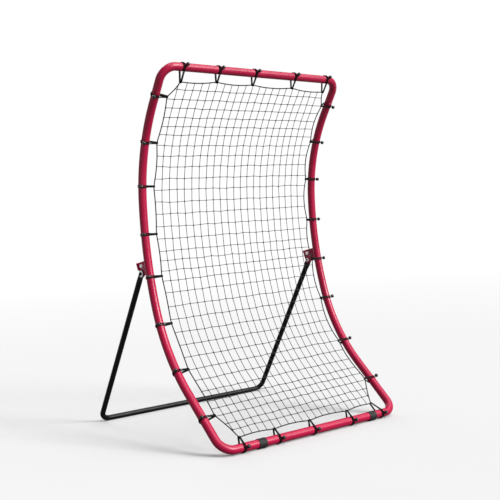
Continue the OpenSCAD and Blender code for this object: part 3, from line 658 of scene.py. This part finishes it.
def make_legs(paint):
    """The two bent legs with their crimped ends, and the round bar between them."""
    square = steady(LEG_SQUARE)

    def point_of(t):
        x, up = bent_way(t, LEG_HALF, LEG_BEND_R)
        return BAR_AXIS + x[:, None] * X_AXIS + up[:, None] * LEG_UP

    def button_cut(sign):
        start = BAR_AXIS + sign * (LEG_JOINT_X - SPIGOT_LEN / 2) * X_AXIS
        return start, start + [0, BUTTON_CUT * LEG_R, 0], LEG_BUTTON_HOLE_R

    leg = rings(point_of, square, leg_outline(), LEG_SIDES)
    for name, sign in (("left", -1), ("right", 1)):
        inner, outer = (PIVOT + sign * (SIDE_X + k * LEG_R) * X_AXIS for k in (-1, 1))
        points = leg[None, :, ::-sign] * [sign, 1, 1]
        piece(name + "_bent_leg", grid(points, False, True, (ROW_MAP, 1 / LEG_SIDES), capped=True), paint,
              "leg_frame", name + "_leg",
              holes=[(inner, outer, BOLT_HOLE_R), button_cut(sign)], crease=CREASE)
    edge, far = TUBE_EDGE, LEG_JOINT_X
    outline = np.array([(edge - far, LEG_R), (far - edge, LEG_R), (far, LEG_R - edge), (far, LEG_BORE_R),
                        (-far, LEG_BORE_R), (-far, LEG_R - edge)])
    piece("rear_round_bar", pipe(point_of, square, outline), paint, "leg_frame", "rear_bar",
          holes=[button_cut(-1), button_cut(1)], crease=CREASE)


# ---- brackets and fasteners ----

MERGE_GAP = 2e-6                    # corners of a CAD mesh nearer than this are one
FLAT_TURN = math.radians(0.5)       # its triangles that meet at less than this are one face
EDGE_TURN = math.radians(32)        # edges sharper than this are rounded
PLATE_EDGE, BOLT_EDGE, STRIP_EDGE = 0.0006, 0.0004, 0.0001


def softened(name, node, material, body, radius):
    """A CAD node's own mesh with its triangles merged into whole faces and its edges rounded."""
    shape = bmesh.new()
    shape.from_mesh(frame["nodes"][node].data)
    bmesh.ops.remove_doubles(shape, verts=shape.verts, dist=MERGE_GAP)
    bmesh.ops.dissolve_limit(shape, angle_limit=FLAT_TURN, verts=shape.verts, edges=shape.edges)
    mesh = bpy.data.meshes.new(name)
    shape.to_mesh(mesh)
    shape.free()
    smooth(mesh, material)
    made = placed(name, mesh)
    bevel = made.modifiers.new("edges", "BEVEL")
    bevel.width, bevel.segments, bevel.limit_method, bevel.angle_limit = radius, 2, "ANGLE", EDGE_TURN
    bevel.harden_normals = True
    assign(made, body, node)
    return made


def make_springs(finish):
    """The strips behind the snap buttons: each is a softened copy of its CAD node, riding on the body that
    holds its button, with a mesh of its own."""
    for joint in frame["joints"]:
        if joint["type"] != "slide":
            continue
        node = joint["child"] + "_spring"
        strip = softened(node.replace("button", "press"), node, finish, joint["parent"],
                         STRIP_EDGE)
        points = np.array([v.co for v in strip.data.vertices])
        depth = points @ np.array(joint["axis"])
        points[depth.argmax()].tolist()
        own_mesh(strip)


# ---- border rope ----

def tip_lines():
    """The rope's tips as (x, s), up the left side, across the top, down the right side and back."""
    left = np.stack([np.full(len(LEFT_LOOPS), -ROPE_X), LEFT_LOOPS], -1)
    right = np.stack([np.full(len(RIGHT_LOOPS), ROPE_X), RIGHT_LOOPS], -1)
    top = np.stack([TOP_LOOPS + TOP_SLANTS, SIDE_LEN - TOP_REACH - CORNER_REACH * TOP_SHARES], -1)
    bottom = np.stack([BOTTOM_LOOPS + BOTTOM_SLANTS, BOTTOM_REACH + CORNER_REACH * BOTTOM_SHARES], -1)
    return left, top, right[::-1], bottom[::-1]


ROPE_STEPS = 24
YARN = (0.30, 0.30, 0.31)           # the pale yarns in the rope and the twine


def rope_line():
    """The rope's closed way as (x, s): from each tip to the next it is a straight line drawn inwards by
    its sag times four times the share run times the share left. The corners are then eased: each point
    is taken twice with each of its neighbours once, over four."""
    tips = np.concatenate(tip_lines())
    sags = np.concatenate([LEFT_SAGS, [CORNER_SAG], TOP_SAGS, [CORNER_SAG], RIGHT_SAGS[::-1], [CORNER_SAG],
                           BOTTOM_SAGS[::-1], [CORNER_SAG]])
    share = np.arange(ROPE_STEPS) / ROPE_STEPS
    run = np.roll(tips, -1, 0) - tips
    inwards = unit(np.stack([run[:, 1], -run[:, 0]], -1))
    way = (tips[:, None] + share[:, None] * run[:, None]
           + (4 * share * (1 - share))[:, None] * (sags[:, None] * inwards)[:, None])
    way = way.reshape(-1, 2)
    for _ in range(3):
        way = (np.roll(way, 1, 0) + 2 * way + np.roll(way, -1, 0)) / 4
    return way


def make_rope(sizes, colours):
    """The border rope: a round braid along the rope's way."""
    way = rope_line()
    path = side_point(way[:, 0], way[:, 1], NET_FORWARD)[None]
    rope = tube(path, side_forward(way[:, 1])[None], sizes.rope / 2, sides=12, closed=True)
    cord = cord_cloth("braided_rope", colours.rope, YARN, around=6, slope=2.4, depth=0.0006, braided=True)
    piece("border_cord", rope, cord, "frame", "border_rope")


# ---- net ----

TWINE_OFF = 0.6                     # a twine off the net's middle, in half thicknesses
KNOT_LONG, KNOT_WIDE, KNOT_WAIST = 1.15, 0.92, 0.12
# Shares of the rope's thickness
HITCH_HALF, HITCH_R, HITCH_SWELL, HITCH_DIP = 0.6, 0.46, 0.17, 0.04


def knot_places(sizes):
    """The knots' (x, s): even columns, the rows raised to the right by a tilt that is a broken line of
    their height, and a small seeded stray."""
    rng = np.random.default_rng(seed=7)
    across = np.linspace(-sizes.left_edge, sizes.right_edge, sizes.columns + 1)[1:-1]
    tilt = np.interp(ROWS, TILT_AT, TILT_RISE)
    x = across[None, :] + sizes.slack * rng.uniform(-0.7, 0.7, (len(ROWS), len(across)))
    s = ROWS[:, None] + tilt[:, None] * across[None, :] / sizes.left_edge
    s = s + sizes.slack * rng.uniform(-1, 1, s.shape)
    return x, s


def rope_edge(way, side, at):
    """Where the rope's way crosses a row or column: the crossing coordinate read off the way's part on
    that side, from the last tip before it to the first one after it, as a broken line."""
    first, last = {"left": (-1, 8), "top": (7, 13), "right": (12, 21), "bottom": (20, 26)}[side]
    part = way[np.arange(first * ROPE_STEPS, last * ROPE_STEPS + 1) % len(way)]
    key = 1 if side in ("left", "right") else 0
    part = part[np.argsort(part[:, key])]
    return np.interp(at, part[:, key], part[:, 1 - key])


def filled(points, steps):
    """Each leg of a stack of broken lines cut into equal steps."""
    share = np.arange(steps) / steps
    legs = points[:, :-1, None] + share[:, None] * (points[:, 1:] - points[:, :-1])[:, :, None]
    return np.concatenate([legs.reshape(len(points), -1, 2), points[:, -1:]], 1)


def make_net(sizes, colours):
    """The net: rows and columns of twine from rope to rope through the knots' places, the columns in front
    of the rows, with a bead at each knot and a hitch at each end."""
    way = rope_line()
    x, s = knot_places(sizes)
    left = np.stack([rope_edge(way, "left", s[:, 0]), s[:, 0]], -1)
    right = np.stack([rope_edge(way, "right", s[:, -1]), s[:, -1]], -1)
    low = np.stack([x[0], rope_edge(way, "bottom", x[0])], -1)
    high = np.stack([x[-1], rope_edge(way, "top", x[-1])], -1)
    knots = np.stack([x, s], -1)
    rows = filled(np.concatenate([left[:, None], knots, right[:, None]], 1), steps=2)
    columns = filled(np.concatenate([low[None], knots, high[None]]).transpose(1, 0, 2), steps=3)
    half = sizes.twine / 2
    parts = []
    for lines, off in ((rows, -TWINE_OFF), (columns, TWINE_OFF)):
        path = side_point(lines[..., 0], lines[..., 1], NET_FORWARD + half * off)
        parts.append(tube(path, side_forward(lines[..., 1]), half, sides=6))
    parts.append(knot_beads(knots.reshape(-1, 2), sizes.knot / 2))
    parts.append(hitches(way, np.concatenate([left, right, low, high]), sizes.rope))
    twine = cord_cloth("net_twine", colours.twine, YARN, around=3, slope=1.2, depth=0.0005, braided=False)
    piece("knotted_net", join(*parts), twine, "frame", "net")


def knot_beads(places, radius):
    """Knots: eight-sided beads, longer one way than the other, each turned by a seeded angle in the net's
    surface and narrowed across its middle where the two twines cross."""
    rng = np.random.default_rng(seed=11)
    centre = side_point(places[:, 0], places[:, 1], NET_FORWARD)
    turn = rng.uniform(0.5, 1.1, len(places))[:, None]
    axis = np.cos(turn) * X_AXIS + np.sin(turn) * side_up(places[:, 1])
    latitude = np.linspace(0.12, 0.88, 5) * np.pi
    waist = 1 - KNOT_WAIST * np.sin(latitude) ** 6
    profile = np.stack([-np.cos(latitude) * radius * KNOT_LONG,
                        np.sin(latitude) * radius * KNOT_WIDE * waist], -1)
    return lathe(centre, unit(axis), profile, sides=8)


def hitches(way, places, thick):
    """Hitches that tie each twine to the rope: short round collars along the rope's way, at the way's
    nearest point to each twine's end."""
    gap = np.linalg.norm(way[None] - places[:, None], axis=-1)
    nearest = gap.argmin(1)
    point = side_point(way[:, 0], way[:, 1], NET_FORWARD)
    along = unit(np.roll(point, -1, 0) - np.roll(point, 1, 0))[nearest]
    swell = np.sin(np.linspace(0, np.pi, 6))
    profile = np.stack([np.linspace(-1, 1, 6) * thick * HITCH_HALF,
                        thick * (HITCH_R + HITCH_SWELL * swell - HITCH_DIP * swell ** 8)], -1)
    return lathe(point[nearest], along, profile, sides=8)


# ---- elastic loops and balls ----

PINCHED, PINCHED_AT = 0.68, 1.4     # the strands' share apart, from so many LOOP_R out
# Heights in radii, places in shares of the way from pole to pole
RIDGE_H, RIDGE_W = 0.02, 0.012
DIMPLE_DEPTH, DIMPLE_FROM, DIMPLE_W = 0.13, 0.92, 0.04


def loop_seats():
    """Each group's loops: the tube's axis point, the point straight across from it that the loop's tip is
    pulled from, the tube's direction, the ball's direction and middle, and the tip's slant."""
    seats = {}
    for name, sign, places in (("left", -1, LEFT_LOOPS), ("right", 1, RIGHT_LOOPS)):
        front = side_forward(places)
        axis, along = side_point(sign * SIDE_X, places), side_up(places)
        ball = math.cos(SIDE_BALL_TURN) * sign * X_AXIS + math.sin(SIDE_BALL_TURN) * front
        seats[name] = (axis, side_point(sign * ROPE_X, places, NET_FORWARD), along, ball,
                       axis + SIDE_BALL_AT * ball, np.zeros(len(places)))
    _, top, _, bottom = tip_lines()
    for name, tips, slants, s_rail, turn in (("top", top, TOP_SLANTS, SIDE_LEN, TOP_BALL_TURN),
                                             ("bottom", bottom[::-1], BOTTOM_SLANTS, 0.0, BOTTOM_BALL_TURN)):
        x = tips[:, 0] - slants
        axis, along = side_point(x, s_rail), np.broadcast_to(X_AXIS, (len(x), 3))
        ball = np.broadcast_to([0, -math.cos(turn), math.sin(turn)], (len(x), 3))
        seats[name] = (axis, side_point(x, tips[:, 1], NET_FORWARD), along, ball,
                       axis + RAIL_BALL_AT * ball + RAIL_BALL_BESIDE * along, slants)
    return seats


def loop_way(reach, ball_angle):
    """A loop's closed outline, as plane points, starting at the ball: the arc round the tube, a tangent,
    the arc round the rope and the other tangent, spaced evenly along it. The second result is how far
    apart the two strands run there, as a share: 1 round the tube, and less where they near the rope."""
    open_angle = np.arccos((LOOP_R - ROPE_LOOP_R) / reach)
    around = np.linspace(ball_angle, 2 * np.pi - open_angle, 60)
    tip = np.linspace(-open_angle, open_angle, 30)
    back = np.linspace(open_angle, ball_angle, 60)
    line = np.concatenate([
        LOOP_R * np.stack([np.cos(around), np.sin(around)], -1),
        [reach, 0] + ROPE_LOOP_R * np.stack([np.cos(tip), np.sin(tip)], -1),
        LOOP_R * np.stack([np.cos(back), np.sin(back)], -1)])
    run = np.concatenate([[0], np.cumsum(np.linalg.norm(np.diff(line, axis=0), axis=-1))])
    at = np.linspace(0, run[-1], 72, endpoint=False)
    way = np.stack([np.interp(at, run, line[:, 0]), np.interp(at, run, line[:, 1])], -1)
    return way, np.interp(way[:, 0], [LOOP_R / 2, LOOP_R * PINCHED_AT], [1, PINCHED])


def make_loops(sizes, colours):
    """The elastic loops: each is its way twice over, a little to either side, in the plane square to its
    tube. A slanting loop leans along the tube by the share of the reach run."""
    cord = cord_cloth("elastic_cord", colours.cord, (0.25, 0.25, 0.26), around=5, slope=1.6, depth=0.0004,
                      braided=True, gloss=0.1)
    for name, (axis, tips, along, ball, _, slants) in loop_seats().items():
        parts = []
        for a, tip, e, b, slant in zip(axis, tips, along, ball, slants):
            reach = np.linalg.norm(tip - a)
            u = (tip - a) / reach
            v = np.cross(e, u)
            way, pinch = loop_way(reach, math.atan2(b @ v, b @ u) % (2 * math.pi))
            lean = slant * np.clip((way[:, :1] - LOOP_R / 2) / (reach - LOOP_R / 2), 0, 1)
            plane = a + way[:, :1] * u + way[:, 1:] * v + lean * e
            strands = np.stack([plane + k * STRAND_OFF * pinch[:, None] * e for k in (-1, 1)])
            parts.append(tube(strands, e, sizes.cord / 2, sides=10, closed=True, flat=CORD_FLAT))
        piece(name + "_elastic_loops", join(*parts), cord, "frame", name + "_loops")


def ball_profile(radius):
    """A ball's outline from its inner pole to its outer one: a circle with a small moulding ridge at its
    middle, and a shallow dimple round the cord's hole at the outer pole."""
    share = np.concatenate([np.linspace(0.06, 0.46, 9), [0.485, 0.495, 0.505, 0.515],
                            np.linspace(0.54, 0.9, 8), [0.93, 0.95, 0.965]])
    ridge = RIDGE_H * np.exp(-((share - 0.5) / RIDGE_W) ** 2)
    dimple = DIMPLE_DEPTH * np.clip((share - DIMPLE_FROM) / DIMPLE_W, 0, 1)
    size = radius * (1 - RIDGE_H + ridge - dimple)
    return np.stack([-np.cos(share * np.pi) * size, np.sin(share * np.pi) * size], -1)


def make_balls(sizes, colours):
    """The balls: each is its outline turned about its own direction from the tube."""
    gloss = moulded("ball_plastic", colours.ball)
    for name, (_, _, _, ball, middle, _) in loop_seats().items():
        part = lathe(middle, ball, ball_profile(sizes.ball / 2), sides=20)
        piece(name + "_toggle_balls", part, gloss, "frame", name + "_loop_balls")


# ---- rubber sleeves ----

SLEEVE_LIP = 0.0012
SLEEVE_SIDES = 64


def make_sleeves(colours):
    """Sleeves round the bottom rail: a rounded oblong turned round the rail. Each ring is lowered by its
    height over the rail's skin times the drop, so that the wall is thickest below, and held flat at the
    ground."""
    skin = rubber("sleeve_rubber", colours.sleeve)
    for name in ("left_foot_sleeve", "right_foot_sleeve"):
        low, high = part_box(name)
        half, outer = (high.x - low.x) / 2, (high.y - low.y) / 2
        drop = RAIL_Z + outer - high.z
        turn = np.linspace(0, np.pi / 2, 5)
        edge = np.stack([half - SLEEVE_LIP * (1 - np.sin(turn)), outer - SLEEVE_LIP * (1 - np.cos(turn))], -1)
        inset = outer - 2 * SLEEVE_LIP
        face = np.stack([[half, half, -half, -half], [inset, TUBE_R, TUBE_R, inset]], -1)
        body = np.linspace(2 * SLEEVE_LIP - half, half - 2 * SLEEVE_LIP, 9)
        skin_line = np.stack([body, np.full(len(body), outer)], -1)
        profile = np.concatenate([skin_line, edge, face, edge[::-1] * [-1, 1]])
        angle = turns(SLEEVE_SIDES)
        ring = np.stack([np.zeros(SLEEVE_SIDES), np.sin(angle), -np.cos(angle)], -1)
        points = (np.array([(low.x + high.x) / 2, RAIL_Y, RAIL_Z])
                  + profile[None, :, None, :1] * X_AXIS + profile[None, :, None, 1:] * ring)
        points[..., 2] -= (drop * (profile[:, 1] - TUBE_R) / (outer - TUBE_R))[None, :, None]
        points[..., 2] = np.maximum(points[..., 2], 0)
        part = grid(points, True, True, (0.05, 1 / SLEEVE_SIDES))
        piece(name.replace("foot", "rubber"), part, skin, "frame", name)


# ---- stage ----

CAMERA_PLACE = Vector((-2.21848, -2.87780, 0.80825))
CAMERA_YAW, CAMERA_PITCH, CAMERA_ROLL = (math.radians(a) for a in (38.420, 1.630, -2.806))
CAMERA_LENS = 62.765
BOUNCE = 0.25            # share of its colour that the floor throws back at the object
WORLD_LIGHT = 0.25
LAMPS = (("key", (0.45, -0.90, 0.56), 22, 3.4),
         ("sky", (0.3, -0.3, 1.0), 60, 1.9),
         ("back", (0.1, 0.9, 0.6), 30, 0.7))
LAMP_AWAY = 6
FLOOR_RADII = np.concatenate([np.geomspace(60, 0.5, 24), [0.01]])
FLOOR_SIDES = 64
FADE_FROM, FADE_TO = 2.6, 9.0       # where the floor's colour starts to give way, and is white


def make_camera():
    """Camera from its place, yaw from straight back, pitch down and roll."""
    level = math.cos(CAMERA_PITCH)
    fwd = Vector((math.sin(CAMERA_YAW) * level, math.cos(CAMERA_YAW) * level, -math.sin(CAMERA_PITCH)))
    flat = Vector((math.cos(CAMERA_YAW), -math.sin(CAMERA_YAW), 0))
    rise = flat.cross(fwd)
    right = math.cos(CAMERA_ROLL) * flat + math.sin(CAMERA_ROLL) * rise
    up = -math.sin(CAMERA_ROLL) * flat + math.cos(CAMERA_ROLL) * rise
    data = bpy.data.cameras.new("camera")
    data.lens = CAMERA_LENS
    made = placed("camera", data)
    made.matrix_world = Matrix.Translation(CAMERA_PLACE) @ Matrix((right, up, -fwd)).transposed().to_4x4()
    bpy.context.scene.camera = made


def make_lamp(name, towards, spread, power):
    """A far soft lamp in the given direction from the object, as wide as its spread in degrees."""
    data = bpy.data.lights.new(name, "SUN")
    data.angle, data.energy = math.radians(spread), power
    made = placed(name, data)
    place = LAMP_AWAY * Vector(towards).normalized()
    made.matrix_world = Matrix.Translation(place) @ (-place).to_track_quat("-Z", "Y").to_matrix().to_4x4()


def make_floor(colour):
    """Round floor: a grid of radius and angle, whose pale colour gives way to plain white far out, so
    that it has no edge against the world."""
    angle, radius = turns(FLOOR_SIDES), FLOOR_RADII[:, None]
    points = np.stack([radius * np.cos(angle), radius * np.sin(angle), 0 * radius * angle], -1)
    places, faces, _ = grid(points[None], False, True, (1, 1))
    middle = list(range(len(places) - FLOOR_SIDES, len(places)))
    floor = shell("floor", places, faces + [middle])
    made = Finish("floor_paint", Roughness=0.9, Specular_IOR_Level=0.1)
    path = made.add("LightPath")
    seen = path.outputs["Is Camera Ray"]
    made.colour(made.between(seen, shade(colour, BOUNCE), linear(colour)))
    far = made.add("VectorMath", set_operation="LENGTH", i0=made.coords.outputs["Object"])
    share = made.spread(far.outputs["Value"], FADE_FROM, FADE_TO, 0, 1)
    share = made.maths("MULTIPLY", share, made.maths("MAXIMUM", seen, path.outputs["Is Glossy Ray"]))
    white = made.add("Emission", Strength=1.0)
    blend = made.add("MixShader", Fac=share)
    out = made.tree.nodes["Material Output"]
    made.tree.links.new(made.shader.outputs[0], blend.inputs[1])
    made.tree.links.new(white.outputs[0], blend.inputs[2])
    made.tree.links.new(blend.outputs[0], out.inputs["Surface"])
    floor.data.materials.append(made.material)


def make_world():
    """World that lights softly and shows white to the camera."""
    world = bpy.context.scene.world or bpy.data.worlds.new("world")
    bpy.context.scene.world = world
    world.use_nodes = True
    tree = world.node_tree
    sky = tree.nodes["Background"]
    sky.inputs["Color"].default_value = (1, 1, 1, 1)
    path = add_node(tree, "LightPath").outputs
    seen = add_node(tree, "Math", set_operation="MAXIMUM", i0=path["Is Camera Ray"],
                    i1=path["Is Transmission Ray"])
    level = add_node(tree, "MapRange", To_Min=WORLD_LIGHT, Value=seen.outputs[0])
    tree.links.new(level.outputs[0], sky.inputs["Strength"])


# ---- operators ----

class REBOUND_OT_frame(bpy.types.Operator):
    """Paint the red frame and its brackets"""
    bl_idname = "rebound.frame"
    bl_label = "Frame"

    def execute(self, context):
        colour = context.scene.rebound_colours.frame
        paint = powder_coat("frame_powder_coat", colour, roughness=0.32, gloss=0.45)
        make_tubes(paint)
        for side in ("left", "right"):
            softened(side + "_bracket_plate", side + "_bracket", paint, "frame", PLATE_EDGE)
        return {"FINISHED"}


class REBOUND_OT_legs(bpy.types.Operator):
    """Paint the black leg frame"""
    bl_idname = "rebound.legs"
    bl_label = "Legs"

    def execute(self, context):
        make_legs(powder_coat("leg_powder_coat", context.scene.rebound_colours.legs, 0.38, gloss=0.25))
        return {"FINISHED"}


class REBOUND_OT_hardware(bpy.types.Operator):
    """Finish the bolts, nuts, washers, snap buttons and springs"""
    bl_idname = "rebound.hardware"
    bl_label = "Hardware"

    def execute(self, context):
        # The zinc's emission is a painted reflection that brightens its shaded faces.
        zinc = plated("zinc_plate_painted_glow", (0.93, 0.93, 0.93), roughness=0.30, metal=0.35, painted_glow=0.2)
        black = plated("black_oxide", (0.13, 0.13, 0.14), roughness=0.42)
        steel = plated("button_steel", (0.78, 0.78, 0.79), roughness=0.22)
        for name, node in (("upper_hex_bolts", "bracket_bolts"), ("upper_hex_nuts", "bracket_bolt_nuts"),
                           ("round_washers", "pivot_washers"), ("pivot_hex_nuts", "pivot_nuts")):
            softened(name, node, zinc, "frame", BOLT_EDGE)
        softened("pivot_hex_bolts", "pivot_bolts", black, "frame", BOLT_EDGE)
        for node in frame["nodes"]:
            if node.endswith("_button"):
                for slot in frame["nodes"][node].material_slots:
                    slot.material = steel
        make_springs(plated("spring_steel", (0.55, 0.56, 0.60), roughness=0.30))
        return {"FINISHED"}


class REBOUND_OT_sleeves(bpy.types.Operator):
    """Make the rubber sleeves on the bottom rail"""
    bl_idname = "rebound.sleeves"
    bl_label = "Sleeves"

    def execute(self, context):
        make_sleeves(context.scene.rebound_colours)
        return {"FINISHED"}


class REBOUND_OT_rope(bpy.types.Operator):
    """Make the rope round the net"""
    bl_idname = "rebound.rope"
    bl_label = "Border rope"

    def execute(self, context):
        make_rope(context.scene.rebound_net, context.scene.rebound_colours)
        return {"FINISHED"}


class REBOUND_OT_net(bpy.types.Operator):
    """Make the knotted net"""
    bl_idname = "rebound.net"
    bl_label = "Net"

    def execute(self, context):
        make_net(context.scene.rebound_net, context.scene.rebound_colours)
        return {"FINISHED"}


class REBOUND_OT_loops(bpy.types.Operator):
    """Make the elastic loops"""
    bl_idname = "rebound.loops"
    bl_label = "Loops"

    def execute(self, context):
        make_loops(context.scene.rebound_loops, context.scene.rebound_colours)
        return {"FINISHED"}


class REBOUND_OT_balls(bpy.types.Operator):
    """Make the balls that close the loops"""
    bl_idname = "rebound.balls"
    bl_label = "Balls"

    def execute(self, context):
        make_balls(context.scene.rebound_loops, context.scene.rebound_colours)
        return {"FINISHED"}


class REBOUND_OT_stage(bpy.types.Operator):
    """Set up the camera, lamps, floor and world"""
    bl_idname = "rebound.stage"
    bl_label = "Stage"

    def execute(self, context):
        context.scene.view_settings.view_transform = "Standard"
        make_camera()
        for lamp in LAMPS:
            make_lamp(*lamp)
        make_floor(context.scene.rebound_colours.backdrop)
        make_world()
        return {"FINISHED"}


OPERATORS = (REBOUND_OT_frame, REBOUND_OT_legs, REBOUND_OT_hardware, REBOUND_OT_sleeves, REBOUND_OT_rope,
             REBOUND_OT_net, REBOUND_OT_loops, REBOUND_OT_balls, REBOUND_OT_stage)


class REBOUND_PT_panel(bpy.types.Panel):
    """Sizes, colours and makers of the rebound net"""
    bl_label = "Rebound net"
    bl_space_type = "VIEW_3D"
    bl_region_type = "UI"
    bl_category = "Rebound net"

    def draw(self, context):
        for group in (context.scene.rebound_net, context.scene.rebound_loops, context.scene.rebound_colours):
            box = self.layout.box()
            for key in group.__annotations__:
                box.prop(group, key)
        for operator in OPERATORS:
            self.layout.operator(operator.bl_idname)


GROUPS = {"rebound_net": NetSizes, "rebound_loops": LoopSizes, "rebound_colours": Colours}
CLASSES = (*GROUPS.values(), *OPERATORS, REBOUND_PT_panel)


def register():
    for c in CLASSES:
        bpy.utils.register_class(c)
    for name, group in GROUPS.items():
        setattr(bpy.types.Scene, name, bpy.props.PointerProperty(type=group))


def unregister():
    for name in GROUPS:
        delattr(bpy.types.Scene, name)
    for c in reversed(CLASSES):
        bpy.utils.unregister_class(c)


def main():
    """Registers the classes and makes every piece."""
    register()
    for operator in OPERATORS:
        getattr(bpy.ops.rebound, operator.bl_idname.split(".")[1])()


if __name__ == "__main__":
    main()
